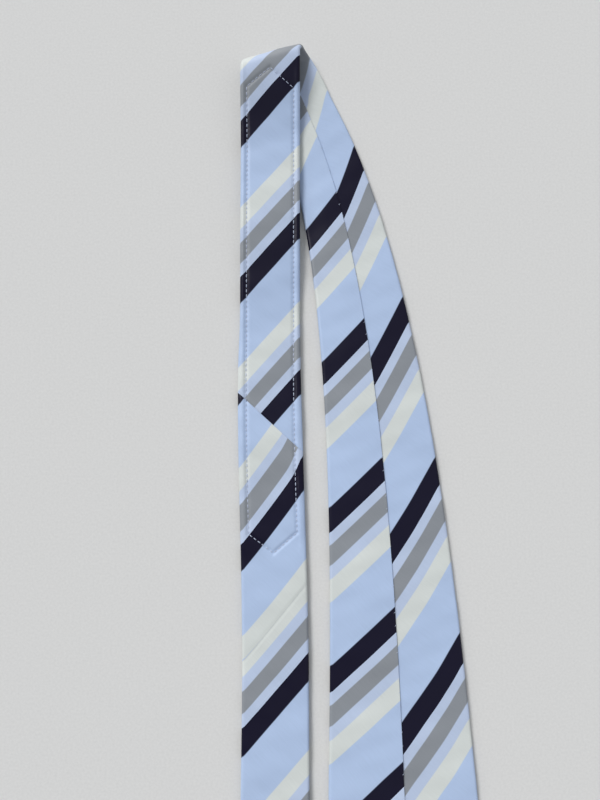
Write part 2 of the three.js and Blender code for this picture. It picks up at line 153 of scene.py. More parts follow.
def plan(half, d, w, n):
    """A flat point's place on the ground, its distance from the fold, and the roll's turn there."""
    leans = lean(half, d)
    table = np.arange(len(LINE[half])) - BEFORE
    flat_x = np.interp(d, table, LINE[half][:, 0]) + w * np.cos(leans)
    flat_y = np.interp(d, table, LINE[half][:, 1]) + w * np.sin(leans)
    inward = -(flat_x * PAST_FOLD[0] + flat_y * PAST_FOLD[1])
    turn = np.minimum(inward / FOLD_RADIUS, pi / 2)
    along = flat_x * ALONG_FOLD[0] + flat_y * ALONG_FOLD[1]
    along = along - half * FOLD_SLIP * smooth(inward, 0, QUARTER) / 2
    past = (FOLD_RADIUS + n) * np.cos(turn) - FOLD_RADIUS - np.maximum(inward - QUARTER, 0)
    x = FOLD_PLACE[0] + along * ALONG_FOLD[0] + past * PAST_FOLD[0]
    y = FOLD_PLACE[1] + along * ALONG_FOLD[1] + past * PAST_FOLD[1]
    return x, y, inward, turn


def parting_place():
    """The distance from the fold at which the wide half's left edge clears the narrow half."""
    for d in np.arange(QUARTER, NECK_SEAM, 1.0):
        wide_x, _, wide_inward, _ = plan(WIDE, d, -half_width(WIDE, d), 0)
        if wide_x > plan(NARROW, d, half_width(NARROW, d), 0)[0] + PARTED_BY:
            return wide_inward
    return NECK_SEAM


FIRST_DROP_END = QUARTER + FIRST_DROP
LAST_DROP_START = max(parting_place(), FIRST_DROP_END)

# The flat layout's own origin, found from where the CAD's hinge is.
HINGE = np.array(frame["record"]["behaviour"]["joints"][0]["pos_m"])
RAW_HINGE = FOLD_PLACE + (THICKNESS / 2 + FOLD_SPLIT) * PAST_FOLD
ORIGIN = np.array([HINGE[0] * 1000 - RAW_HINGE[0], HINGE[1] * 1000 - RAW_HINGE[1], 0])


def place(half, d, w, n):
    """Lays points of the flat tie out, in metres: round the fold's roll, and down to the surface."""
    x, y, inward, turn = plan(half, d, w, n)
    z = THICKNESS / 2 + FOLD_RADIUS + half * (FOLD_RADIUS + n) * np.sin(turn)
    if half == NARROW:
        z = z - (2 * FOLD_RADIUS - REST_LIFT) * smooth(inward, QUARTER, FIRST_DROP_END)
        z = z - REST_LIFT * smooth(inward, LAST_DROP_START, LAST_DROP_START + LAST_DROP)
    return (np.stack([x, y, z], -1) + ORIGIN) / 1000


# ------------------------------------------------------------------------------- the cloth's relief
PITCH = 3.0  # of the topstitches
GROOVE_DEPTH, GROOVE_WIDTH, DIMPLE = 0.6, 1.05, 0.07
RIM_HEIGHT, RIM_WIDTH, RIM_OUT = 0.3, 1.3, 2.2  # the ridge between the stitches and the edge
RIM_FADE_IN, RIM_FADE_OUT = (-6, 6), (-8, 4)  # from the stitches' first and last place
CROWN, CROWN_POWER = 0.4, 4
BACK_WAVES_ACROSS, BACK_WAVES_SHIFT = 0.7, 40  # so that the back's waves differ from the front's
PLAIN_TIP = (-14, -6)  # from a tip, where the relief fades out
SEAM_DIP, SEAM_DIP_WIDTH = 0.28, 0.8
WAVES = [  # height, length along, lean across, start
    (0.16, 46.0, 0.55, 0.4),
    (0.13, 31.0, -0.8, 2.1),
    (0.09, 19.0, 0.35, 4.0),
    (0.06, 12.5, -0.5, 1.3),
]


def stitch_place(d, w):
    """A point's distance from the topstitch hexagon, and how far along its line the nearest place is."""
    w = np.abs(w)
    best = np.full(np.broadcast(d, w).shape, 1e3)
    run = np.zeros_like(best)
    legs = [
        ((STITCH_TOP, 0), (STITCH_TOP + STITCH_POINT, STITCH_HALF), 0),
        ((STITCH_TOP + STITCH_POINT, STITCH_HALF), (STITCH_END - STITCH_POINT, STITCH_HALF), STITCH_ARM),
        ((STITCH_END - STITCH_POINT, STITCH_HALF), (STITCH_END, 0), STITCH_ARM + STITCH_STRAIGHT),
    ]
    for (d0, w0), (d1, w1), start in legs:
        length = hypot(d1 - d0, w1 - w0)
        t = np.clip(((d - d0) * (d1 - d0) + (w - w0) * (w1 - w0)) / length**2, 0, 1)
        away = np.hypot(d - d0 - t * (d1 - d0), w - w0 - t * (w1 - w0))
        run = np.where(away < best, start + t * length, run)
        best = np.minimum(away, best)
    return best, run


def waves(half, d, w):
    """Soft unevenness of the cloth."""
    total = 0
    for height, length, across, start in WAVES:
        total = total + height * np.sin(2 * pi * (half * d + across * w) / length + start)
    return total


def crown(half, d, w):
    """The flat of the cloth, which falls away towards its edges."""
    side = np.maximum(half_width(half, d), 1)
    return -CROWN * np.clip(np.abs(w) / side, 0, 1) ** CROWN_POWER


def front_relief(half, d, w):
    """Height over the plain front, which the narrow half's topstitches draw in to a dimpled groove."""
    relief = crown(half, d, w) + waves(half, d, w)
    if half == NARROW:
        away, run = stitch_place(d, w)
        depth = GROOVE_DEPTH + DIMPLE * np.cos(2 * pi * run / PITCH)
        relief = relief - depth * np.exp(-((away / GROOVE_WIDTH) ** 2))
        neck = smooth(d - STITCH_TOP, *RIM_FADE_IN) * (1 - smooth(d - STITCH_END, *RIM_FADE_OUT))
        rim = np.exp(-(((np.abs(w) - STITCH_HALF - RIM_OUT) / RIM_WIDTH) ** 2))
        relief = relief + neck * RIM_HEIGHT * rim
    return relief


def back_relief(half, d, w):
    """The same for the back, which has no topstitches."""
    return crown(half, d, w) + waves(half, d, BACK_WAVES_ACROSS * w + BACK_WAVES_SHIFT)


def lay(half, d, w, n, dip=0):
    """Lays points out with the relief: both faces' reliefs fade through the thickness between them."""
    share = (n - BACK) / THICKNESS
    lifted = n + share * (front_relief(half, d, w) - dip) - (1 - share) * (back_relief(half, d, w) - dip)
    return place(half, d, w, mix(n, lifted, 1 - smooth(d - LENGTH[half], *PLAIN_TIP)))


# -------------------------------------------------------------------------------- the stripes' places
# Where the bands lie: along the tie plus SLOPE times across, they repeat every PERIOD from START.
# The neck's cloth is stretched lengthways a little, most beside its seam, which steepens its bands.
WIDE_SLOPE, NECK_END_SLOPE, NECK_SLOPES, TAIL_SLOPE = 1.02, 1.118, (1.34, 1.12), 1.118
WIDE_START, WIDE_PERIOD = 30.0, 93.2
NECK_START, NECK_PERIOD = 280.0, 97.4
TAIL_START, TAIL_PERIOD = 386.1, 96.5
SLOPE_CHANGE = (-60, 60)
STRETCH, STRETCH_FROM, STRETCH_LENGTH, STRETCH_RUN = 3.3, -130, 255, (-380, 380)
NECK_GREY_WIDER, NECK_GREY = 3.4, (-21, -8)  # the neck panel's grey band is stretched most
NECK_BOW, NECK_BOW_SIDE, NECK_BOW_REACH = 4.0, (5, 17), 14  # its bands bend up beside the neck seam
PULL, PULL_SIDE, PULL_ALONG = 4.2, (20, 60), (100, 400)  # the right flap, drawn down towards the tip
BUNCH, BUNCH_AT, BUNCH_REACH, BUNCH_SIDE = 8.0, -52, 22, (18, 30)  # the left flap, drawn in by the fold


def bands(s, across, panel):
    """The place in the stripes' repeat, where each whole number is the start of a navy band."""
    if panel == "neck":
        past_seam = s - NECK_SEAM - NECK_SEAM_SLOPE * across
        bowed = NECK_BOW * smooth(across, *NECK_BOW_SIDE) * np.exp(-((past_seam / NECK_BOW_REACH) ** 2))
        slope = mix(*NECK_SLOPES, (s - NECK_SEAM) / (TAIL_SEAM - NECK_SEAM))
        c = s + slope * across + bowed - NECK_START
        return (c + NECK_GREY_WIDER * (1 - smooth(c, *NECK_GREY))) / NECK_PERIOD
    if panel == "tail":
        return (s + TAIL_SLOPE * across - TAIL_START) / TAIL_PERIOD
    c = s + mix(WIDE_SLOPE, NECK_END_SLOPE, smooth(s, *SLOPE_CHANGE)) * across
    uneven = STRETCH * np.sin(pi * np.clip(c - STRETCH_FROM, *STRETCH_RUN) / STRETCH_LENGTH)
    bunched = BUNCH * np.exp(-(((s - BUNCH_AT) / BUNCH_REACH) ** 2)) * smooth(-across, *BUNCH_SIDE)
    pulled = PULL * smooth(across, *PULL_SIDE) * smooth(-s, *PULL_ALONG)
    return (c + uneven - bunched + pulled - WIDE_START) / WIDE_PERIOD


def unfolded(half, d, across):
    """The place in the flat cloth of a point on the folded sleeve: the flaps mirror at their edges."""
    side = half_width(half, d)
    slope = (half_width(half, d + 1) - half_width(half, d - 1)) / 2
    turned = np.maximum(np.abs(across) - side, 0)
    straight = 1 / (1 + slope**2)
    s = d - 2 * turned * slope * straight
    reach = np.where(turned > 0, side - turned + 2 * turned * straight, np.abs(across))
    return half * s, np.sign(across) * reach


# --------------------------------------------------------------------------------- building the meshes
def new_mesh(name, points, faces, uvs=None, smooth_faces=True, normals=None):
    mesh = bpy.data.meshes.new(name)
    mesh.from_pydata([tuple(p) for p in points], [], [tuple(f) for f in faces])
    for uv_name, values in (uvs or {}).items():
        layer = mesh.uv_layers.new(name=uv_name)
        corners = np.empty(len(mesh.loops), dtype=np.int64)
        mesh.loops.foreach_get("vertex_index", corners)
        layer.data.foreach_set("uv", np.asarray(values, dtype=np.float32)[corners].ravel())
    mesh.polygons.foreach_set("use_smooth", [smooth_faces] * len(mesh.polygons))
    mesh.update()
    if normals is not None:
        mesh.normals_split_custom_set_from_vertices([tuple(v) for v in normals])
    piece = bpy.data.objects.new(name, mesh)
    bpy.context.collection.objects.link(piece)
    return piece


def tube_faces(rings, size):
    """Quads of a grid of rings, each a closed loop of size points."""
    ring, i = np.meshgrid(np.arange(rings - 1), np.arange(size), indexing="ij")
    j = (i + 1) % size
    quads = np.stack([ring * size + i, ring * size + j, (ring + 1) * size + j, (ring + 1) * size + i], -1)
    return quads.reshape(-1, 4)


FACE_STEPS, FLAP_STEPS, EDGE_STEPS = 72, 36, 9
FREE_EDGE = 3  # points round a flap's free edge
WEAVE_UNIT = 100  # millimetres to one unit of the cloth's own coordinates
EDGE_SHARE = 0.8  # of the half width, the most that a rolled edge takes
SEAM_RIDGE = 0.55  # how much more the over flap stands out at the seam than at its rolled edge
RIDGE_SIDES, RIDGE_REACH = (6, 16), 0.35  # the half widths where that comes in, and its level share
TIP_SHELL = 0.45  # of the half width, the most that the cloth's thickness is
TIP_GAP, TIP_COVER = 1.5, 1.2  # near a tip the turned margins stop short of the far edge


def flap_edges(half, d, side):
    """Where the over flap and the under flap end: at the seam, and at their margins once parted."""
    parted = np.clip((d - NOTCH[half]) / (SHOULDER[half] - NOTCH[half]), 0, 1)
    turned = np.minimum(FLAP_MARGIN, np.maximum(2 * side - TIP_GAP, TIP_COVER * side))
    under = SEAM_AT - UNDERLAP * (1 - smooth(d, NOTCH[half] - UNDERLAP_RUN_OUT, NOTCH[half]))
    return mix(SEAM_AT, turned - side, parted), mix(under, side - turned, parted)


def flat_run(ws, n, across, up):
    """Points of a flat layer, whose outer face looks up (1) or down (-1)."""
    return [[w, at, a, 0, up] for w, at, a in zip(ws, np.broadcast_to(n, len(ws)), across)]


def rolled_edge(centre, radius, low, start, across_at):
    """Points round half a turn from start degrees, between the heights low and FRONT."""
    turns = np.radians(np.linspace(start, start + 180, EDGE_STEPS + 2))[1:-1]
    middle, half_height = (FRONT + low) / 2, (FRONT - low) / 2
    return [[centre + radius * cos(t), middle + half_height * sin(t), across_at(t), cos(t), sin(t)]
            for t in turns]


def sleeve_profile(half, d):
    """One cross-section of the folded cloth: outer points [w, n, across, normal w, normal n]."""
    side = float(half_width(half, d))
    over, under = (float(edge) for edge in flap_edges(half, d, side))
    right_r = min((FRONT - UNDER_OUT) / 2, side * EDGE_SHARE)
    left_low = BACK + SEAM_RIDGE * float(smooth(side, *RIDGE_SIDES))
    left_r = min((FRONT - left_low) / 2, side * EDGE_SHARE)

    def right_across(t):
        return side - right_r * t * 2 / pi

    def left_across(t):
        return -side - left_r * (t - pi) * 2 / pi

    under_ws = np.linspace(under, side - right_r, FLAP_STEPS)
    front_ws = np.linspace(side - right_r, left_r - side, FACE_STEPS)
    over_ws = np.linspace(left_r - side, over, FLAP_STEPS)
    to_back = 1 - smooth(-over_ws, RIDGE_REACH * side, side - left_r + 0.01)
    return np.array([
        *flat_run(under_ws, UNDER_OUT, 2 * side - under_ws, -1),
        *rolled_edge(side - right_r, right_r, UNDER_OUT, -90, right_across),
        *flat_run(front_ws, FRONT, front_ws, 1),
        *rolled_edge(left_r - side, left_r, left_low, 90, left_across),
        *flat_run(over_ws, mix(left_low, BACK, to_back), -2 * side - over_ws, -1),
    ])


def sleeve_ring(half, d):
    """The closed loop of a cross-section, outer points then inner ones: [w, n, across]."""
    outer = sleeve_profile(half, d)
    shell = min(SHELL, TIP_SHELL * float(half_width(half, d)))
    inner = outer.copy()
    inner[:, 0] -= shell * outer[:, 3]
    inner[:, 1] -= shell * outer[:, 4]

    def free_edge(at, out):
        w, n, across = outer[at, :3]
        turns = np.radians(np.linspace(-90, 90, FREE_EDGE + 2))[1:-1]
        r = shell / 2
        return [[w + out * r * cos(t), n + r + r * sin(t), across] for t in turns]

    last, first = free_edge(-1, 1), free_edge(0, -1)[::-1]
    return np.array([*outer[:, :3], *last, *inner[::-1, :3], *first])


def slant_at(half, u):
    """The slant of a ring that runs along the fold, which fades away from it."""
    return -half * SLANT * (1 - smooth(u, SLANT_HOLD, SLANT_END))


def near_join(u, at):
    return 1 - smooth(abs(u - at), 0, SEAM_SLANT_REACH)


def join_slant(u):
    """The slant of a ring that runs along the slanting joins of the panels."""
    if u < NECK_SEAM:
        return NECK_SEAM_SLOPE * near_join(u, NECK_SEAM)
    if u > TAIL_SEAM:
        return TAIL_SEAM_SLOPE * near_join(u, TAIL_SEAM)
    return mix(NECK_SEAM_SLOPE, TAIL_SEAM_SLOPE, (u - NECK_SEAM) / (TAIL_SEAM - NECK_SEAM))


TIP_ROUND, TIP_STOP = 4.0, 0.2  # a tip's cloth thins to its fold over the last few millimetres
TIP_THIN = 0.995  # how far round that thinning goes
TIP_LIMIT = 0.1  # the rings made for the normals stay this far inside a tip


def sleeve_points(half, u, dips, sink):
    """One ring of a sleeve, laid out, with each point's d and its place across the unfolded cloth."""
    w, n, across = sleeve_ring(half, u).T
    d = u + slant_at(half, u) * w + (join_slant(u) * across if half == NARROW else 0)
    before_tip = (u - LENGTH[half] + TIP_ROUND) / (TIP_ROUND - TIP_STOP / 2)
    n = n * np.sqrt(1 - np.clip(before_tip, 0, TIP_THIN) ** 2)
    dip = sink + sum(SEAM_DIP * np.exp(-(((u - at) / SEAM_DIP_WIDTH) ** 2)) for at in dips)
    return lay(half, d, w, n, dip), d, across


def grid_normals(rings, backwards):
    """Normals of a grid of rings, from its neighbours both ways; the first and last ring are dropped."""
    along = rings[2:] - rings[:-2]
    around = np.roll(rings, -1, 1) - np.roll(rings, 1, 1)
    normals = np.cross(around[1:-1], along)
    normals /= np.maximum(np.linalg.norm(normals, axis=-1), 1e-12)[..., None]
    return (-normals if backwards else normals).reshape(-1, 3)


def beyond(stations):
    """The stations with one more at each end, for the normals there."""
    position = [half * u for half, u in stations]
    ends = [2 * position[0] - position[1], 2 * position[-1] - position[-2]]
    sides = [stations[0][0], stations[-1][0]]
    first, last = [(half, min(half * at, LENGTH[half] - TIP_LIMIT)) for half, at in zip(sides, ends)]
    return [first, *stations, last]


def end_faces(base, size):
    """Faces between the outer and the inner points of a sleeve's end ring, which starts at base."""
    half_size = (size - 2 * FREE_EDGE) // 2
    layer = [[base + i, base + size - FREE_EDGE - 1 - i, base + size - FREE_EDGE - 2 - i, base + i + 1]
             for i in range(half_size - 1)]
    last_edge = [base + half_size - 1 + k for k in range(FREE_EDGE + 2)]
    first_edge = [base + (size - FREE_EDGE - 1 + k) % size for k in range(FREE_EDGE + 2)]
    return [*layer, last_edge, first_edge]


def sleeve(name, stations, panel, dips=(), sink=0):
    """A sleeve of folded cloth through (half, u) stations, as one closed shell, with its cut size."""
    points, stripe, weave, areas = [], [], [], []
    for half, u in beyond(stations):
        ring, d, across = sleeve_points(half, u, dips, sink)
        points.append(ring)
        s, reach = unfolded(half, d, across)
        stripe.append(np.stack([bands(s, reach, panel), reach / WEAVE_UNIT], -1))
        weave.append(np.stack([reach, s], -1) / WEAVE_UNIT)
        areas.append(across.max() - across.min())
    backwards = stations[0][0] == WIDE and stations[-1][0] == WIDE
    normals = grid_normals(np.array(points), backwards)
    points, stripe, weave, areas = points[1:-1], stripe[1:-1], weave[1:-1], areas[1:-1]
    size = len(points[0])
    end = (len(points) - 1) * size
    faces = [*tube_faces(len(points), size).tolist(), *end_faces(0, size)]
    faces += [face[::-1] for face in end_faces(end, size)]
    if backwards:
        faces = [face[::-1] for face in faces]
    uvs = {"Stripe": np.concatenate(stripe), "Weave": np.concatenate(weave)}
    piece = new_mesh(name, np.concatenate(points), faces, uvs, normals=normals)
    position = np.array([half * u for half, u in stations])
    return piece, max(areas) / 1000, abs(np.trapz(areas, position)) / 1e6


PLATE_STEPS = 24


def plate(name, half, us, section):
    """A solid strip inside the sleeve: section(u) gives its left and right edge, low and high face."""
    points = []
    for u in us:
        left, right, low, high = section(u)
        ws = np.linspace(left, right, PLATE_STEPS)
        w = np.concatenate([ws, ws[::-1]])
        n = np.concatenate([np.full(PLATE_STEPS, low), np.full(PLATE_STEPS, high)])
        points.append(lay(half, u + slant_at(half, u) * w, w, n))
    size = 2 * PLATE_STEPS
    faces = tube_faces(len(us), size).tolist()
    last = (len(us) - 1) * size
    for i in range(PLATE_STEPS - 1):
        faces.append([i, size - 1 - i, size - 2 - i, i + 1])
        faces.append([last + i, last + i + 1, last + size - 2 - i, last + size - 1 - i])
    if half == WIDE:
        faces = [face[::-1] for face in faces]
    return new_mesh(name, np.concatenate(points), faces)


def every(step, start, end):
    """Even steps of about that size, with both ends."""
    return np.linspace(start, end, max(2, round((end - start) / step) + 1))


THREAD_SIDES, THREAD_END = 6, 0.35  # a thread thins to this share at its ends


def threads(name, runs, radius):
    """Many short threads joined in one mesh: each run is a row of points in metres."""
    points, faces = [], []
    for run in runs:
        run = np.asarray(run)
        along = np.gradient(run, axis=0)
        along /= np.linalg.norm(along, axis=1)[:, None]
        side = np.cross(along, [0, 0, 1])
        side /= np.linalg.norm(side, axis=1)[:, None]
        up = np.cross(side, along)
        base = len(points)
        taper = np.ones(len(run))
        taper[[0, -1]] = THREAD_END
        for p, s, t, r in zip(run, side, up, taper * radius / 1000):
            for turn in np.arange(THREAD_SIDES) * 2 * pi / THREAD_SIDES:
                points.append(p + r * (cos(turn) * s + sin(turn) * t))
        last = base + (len(run) - 1) * THREAD_SIDES
        faces += (tube_faces(len(run), THREAD_SIDES) + base).tolist()
        faces.append([base + i for i in range(THREAD_SIDES)][::-1])
        faces.append([last + i for i in range(THREAD_SIDES)])
    faces = [face[::-1] for face in faces]
    return new_mesh(name, np.array(points), faces)


# ----------------------------------------------------------------------------------------- the materials
def linear(colour):
    """The linear colour, with alpha, of an sRGB one."""
    return (*(c / 12.92 if c <= 0.04045 else ((c + 0.055) / 1.055) ** 2.4 for c in colour), 1)


LIGHT_BLUE = linear((0.68, 0.75, 0.862))
PALE_BLUE = linear((0.71, 0.76, 0.85))
NAVY = linear((0.045, 0.03, 0.13))
GREY = linear((0.535, 0.55, 0.57))
CREAM = linear((0.81, 0.825, 0.81))
BAND_SHARES = [
    (NAVY, 0.165),
    (LIGHT_BLUE, 0.392),
    (CREAM, 0.146),
    (PALE_BLUE, 0.086),
    (GREY, 0.130),
    (PALE_BLUE, 0.081),
]
BAND_EDGE = 0.0025  # the share over which one band's threads give way to the next


class Nodes:
    """A material's node tree, with short calls for the nodes used here."""

    def __init__(self, name):
        self.material = bpy.data.materials.new(name)
        self.material.use_nodes = True
        self.tree = self.material.node_tree
        self.shader = self.tree.nodes["Principled BSDF"]

    def add(self, kind, inputs=None, **settings):
        node = self.tree.nodes.new(kind)
        for key, value in settings.items():
            setattr(node, key, value)
        for key, value in (inputs or {}).items():
            self.link(value, node.inputs[key])
        return node

    def link(self, value, socket):
        if isinstance(value, bpy.types.NodeSocket):
            self.tree.links.new(value, socket)
        else:
            socket.default_value = value

    def math(self, operation, a, b=0.0, c=0.0):
        return self.add("ShaderNodeMath", {0: a, 1: b, 2: c}, operation=operation).outputs[0]

    def blend(self, kind, factor, a, b):
        node = self.add("ShaderNodeMix", data_type="RGBA", blend_type=kind)
        self.link(factor, node.inputs[0])
        self.link(a, node.inputs[6])
        self.link(b, node.inputs[7])
        return node.outputs[2]

    def noise(self, where, scale, detail):
        inputs = {"Vector": where, "Scale": scale, "Detail": detail}
        return self.add("ShaderNodeTexNoise", inputs).outputs[0]

    def waves(self, where, scale, distortion, direction):
        inputs = {"Vector": where, "Scale": scale, "Distortion": distortion}
        settings = {"wave_type": "BANDS", "bands_direction": direction}
        return self.add("ShaderNodeTexWave", inputs, **settings).outputs[1]

    def bump(self, height, strength, distance):
        inputs = {"Height": height, "Strength": strength, "Distance": distance}
        return self.add("ShaderNodeBump", inputs).outputs[0]

    def finish(self, **sockets):
        for key, value in sockets.items():
            self.link(value, self.shader.inputs[key.replace("_", " ")])
        return self.material


def silk():
    """Woven stripes with a fine diagonal rib, a soft sheen and slight unevenness in the yarns."""
    m = Nodes("striped_silk")
    stripe = m.add("ShaderNodeUVMap", uv_map="Stripe").outputs[0]
    weave = m.add("ShaderNodeUVMap", uv_map="Weave").outputs[0]
    phase = m.add("ShaderNodeSeparateXYZ", {0: stripe}).outputs[0]
    ramp = m.add("ShaderNodeValToRGB", {0: m.math("FRACT", phase)})
    elements = ramp.color_ramp.elements
    elements[0].position, elements[0].color = 0, BAND_SHARES[0][0]
    elements[1].position, elements[1].color = 1, BAND_SHARES[-1][0]
    at = 0
    for (colour, share), (next_colour, _) in zip(BAND_SHARES, BAND_SHARES[1:]):
        at += share
        elements.new(at - BAND_EDGE).color = colour
        elements.new(at + BAND_EDGE).color = next_colour
    turned = m.add("ShaderNodeMapping", {0: weave}, vector_type="POINT")
    turned.inputs["Rotation"].default_value = (0, 0, radians(45))
    yarns = m.add("ShaderNodeMapping", {0: turned.outputs[0]})
    yarns.inputs["Scale"].default_value = (160, 9, 1)
    slubs = m.noise(yarns.outputs[0], scale=1.0, detail=2.0)
    cloud = m.noise(weave, scale=3.2, detail=1.0)
    tone = m.math("MULTIPLY_ADD", slubs, 0.10, 0.95)
    tone = m.math("MULTIPLY_ADD", m.math("SUBTRACT", cloud, 0.5), 0.10, tone)
    grey = m.add("ShaderNodeCombineColor", {0: tone, 1: tone, 2: tone}).outputs[0]
    colour = m.blend("MULTIPLY", 1.0, ramp.outputs[0], grey)
    ribs = m.waves(turned.outputs[0], scale=62.0, distortion=0.35, direction="X")
    height = m.math("MULTIPLY_ADD", slubs, 0.6, ribs)
    bump = m.bump(height, strength=0.12, distance=0.0002)
    rough = m.math("MULTIPLY_ADD", slubs, 0.12, 0.34)
    return m.finish(Base_Color=colour, Roughness=rough, Normal=bump, Sheen_Weight=0.02,
                    Sheen_Roughness=0.3, Specular_IOR_Level=0.22)


def plain_cloth(name, colour, other, scale, roughness, bump_strength):
    """A plain weave, or a felted one, from crossing bands and noise."""
    m = Nodes(name)
    where = m.add("ShaderNodeTexCoord").outputs["Object"]
    warp = m.waves(where, scale, distortion=0.6, direction="X")
    weft = m.waves(where, scale, distortion=0.6, direction="Y")
    fuzz = m.noise(where, scale * 1.7, detail=4.0)
    woven = m.math("MULTIPLY", warp, weft)
    height = m.math("ADD", woven, fuzz)
    tone = m.math("MULTIPLY", height, 0.6)
    rgb = m.blend("MIX", tone, colour, other)
    bump = m.bump(height, bump_strength, distance=0.0003)
    return m.finish(Base_Color=rgb, Roughness=roughness, Normal=bump, Sheen_Weight=0.12)


def thread_material():
    """A pale thread with a fine twist."""
    m = Nodes("sewing_thread")
    where = m.add("ShaderNodeTexCoord").outputs["Object"]
    twist = m.waves(where, scale=900.0, distortion=1.5, direction="DIAGONAL")
    rgb = m.blend("MIX", twist, linear((0.60, 0.64, 0.73)), linear((0.80, 0.83, 0.9)))
    bump = m.bump(twist, strength=0.4, distance=0.0001)
    return m.finish(Base_Color=rgb, Roughness=0.55, Normal=bump, Sheen_Weight=0.2)


def floor_material():
    m = Nodes("pale_floor")
    where = m.add("ShaderNodeTexCoord").outputs["Object"]
    grain = m.noise(where, scale=700.0, detail=3.0)
    rgb = m.blend("MIX", grain, linear((0.80, 0.795, 0.785)), linear((0.86, 0.855, 0.845)))
    return m.finish(Base_Color=rgb, Roughness=0.9, Specular_IOR_Level=0.2)


SILK = silk()
WOOL = plain_cloth(
    "interlining_wool", linear((0.93, 0.91, 0.86)), linear((0.84, 0.81, 0.75)),
    scale=260.0, roughness=0.95, bump_strength=0.6,
)
TIPPING_SILK = plain_cloth(
    "tipping_silk", linear((0.14, 0.15, 0.25)), linear((0.09, 0.10, 0.18)),
    scale=420.0, roughness=0.4, bump_strength=0.3,
)
THREAD = thread_material()


def done(piece, material, nodes, body=None):
    """Gives a piece its material and slot, the CAD nodes that it replaces, and the body that it rides."""
    piece.data.materials.append(material)
    if nodes:
        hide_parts(*nodes)
    if body:
        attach(piece, body)
    return piece


# --------------------------------------------------------------------------------------- the outer cloth
SPLIT = 25  # the cloth round the fold ends this far from it, where each half's own cloth starts
JOIN = 0.08  # from a seam's middle to its panels
SEAM_THREAD_HALF, SEAM_SINK = 0.06, 0.2
FINE, MIDDLE, COARSE, TIP_STEP = 0.75, 1.8, 2.3, 0.5  # between the sleeves' rings
TIP_RUN, PAST_STITCHES = 8, 4


def stations_on(half, us):
    """Stations for sleeve(), from distances along one half."""
    return [(half, float(u)) for u in us]


def narrow_stations(start, end):
    """Stations of the narrow half: close together as far as the stitches go."""
    fine_end = STITCH_END + PAST_STITCHES
    us = every(FINE, start, min(end, fine_end)) if start < STITCH_END else np.array([start])
    if end > fine_end:
        us = np.concatenate([us[:-1], every(MIDDLE, us[-1], end)])
    return stations_on(NARROW, us)


tip_end = WIDE_LENGTH - TIP_STOP
tip_start = WIDE_LENGTH - TIP_RUN
wide_us = np.concatenate([every(COARSE, SPLIT, tip_start), every(TIP_STEP, tip_start, tip_end)[1:]])
wide_cloth, wide_cut, wide_area = sleeve("wide_blade_cloth", stations_on(WIDE, wide_us), "wide")
done(wide_cloth, SILK, ["wide_panel"], "wide_half")

fold_us = every(FINE, 0, SPLIT)
fold_stations = stations_on(WIDE, fold_us[:0:-1]) + stations_on(NARROW, fold_us)
fold_cloth, fold_cut, fold_area = sleeve("fold_cloth", fold_stations, "wide")
done(fold_cloth, SILK, [])
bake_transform(fold_cloth)

neck_end_stations = narrow_stations(SPLIT, NECK_SEAM - JOIN)
neck_end, cut, area = sleeve("neck_end_cloth", neck_end_stations, "wide", [NECK_SEAM])
done(neck_end, SILK, ["wide_panel_neck_end"], "narrow_half")

neck_stations = narrow_stations(NECK_SEAM + JOIN, TAIL_SEAM - JOIN)
neck, cut, area = sleeve("neck_panel_cloth", neck_stations, "neck", [NECK_SEAM, TAIL_SEAM])
done(neck, SILK, ["neck_panel"], "narrow_half")

tip_start = NARROW_LENGTH - TIP_RUN
tail_stations = narrow_stations(TAIL_SEAM + JOIN, tip_start)
tail_stations += stations_on(NARROW, every(TIP_STEP, tip_start, NARROW_LENGTH - TIP_STOP)[1:])
tail, cut, area = sleeve("narrow_blade_cloth", tail_stations, "tail", [TAIL_SEAM])
done(tail, SILK, ["narrow_panel"], "narrow_half")

for seam_name, at, panel in (("neck_seam", NECK_SEAM, "wide"), ("tail_seam", TAIL_SEAM, "neck")):
    ring = [(NARROW, at + step) for step in (-SEAM_THREAD_HALF, 0, SEAM_THREAD_HALF)]
    seam = sleeve(seam_name + "_thread", ring, panel, [at], SEAM_SINK)[0]
    done(seam, THREAD, [seam_name], "narrow_half")

# --------------------------------------------------------------------------------- lining, stay, tipping
LINING_START = SPLIT + 2
LINING_SHORT = 2.5  # of the tip, besides the inset
LINING_END = {half: LENGTH[half] - LINING_SHORT - 2 * LINING_INSET for half in (WIDE, NARROW)}
TIPPING_STEP, STAY_STEP = (-4, -1), (2, 6)  # along, where the wool makes room for the tipping and the stay
STAY_END = STITCH_END + STAY_BEYOND_STITCH
STRIP_STEP = 3.0
TIPPING_START = {half: NOTCH[half] - UNDERLAP_RUN_OUT / 2 for half in (WIDE, NARROW)}
BODY = {WIDE: "wide_half", NARROW: "narrow_half"}
NAME = {WIDE: "wide", NARROW: "narrow"}


def stay_side(d):
    """Half of the stay's width, which reaches a little beyond the topstitches."""
    fall = STITCH_HALF / STITCH_POINT
    reach = STAY_BEYOND_STITCH * hypot(1, 1 / fall)
    return min(STITCH_HALF + STAY_BEYOND_STITCH, (min(d - STITCH_TOP, STITCH_END - d) + reach) * fall)


def strip(name, half, start, end, section, material, node):
    """A plate that stands for one of the CAD's inner layers, as a sheet."""
    us = every(STRIP_STEP, start, end)
    piece = done(plate(name, half, us, section), material, [node], BODY[half])
    widths = [section(u)[1] - section(u)[0] for u in us]


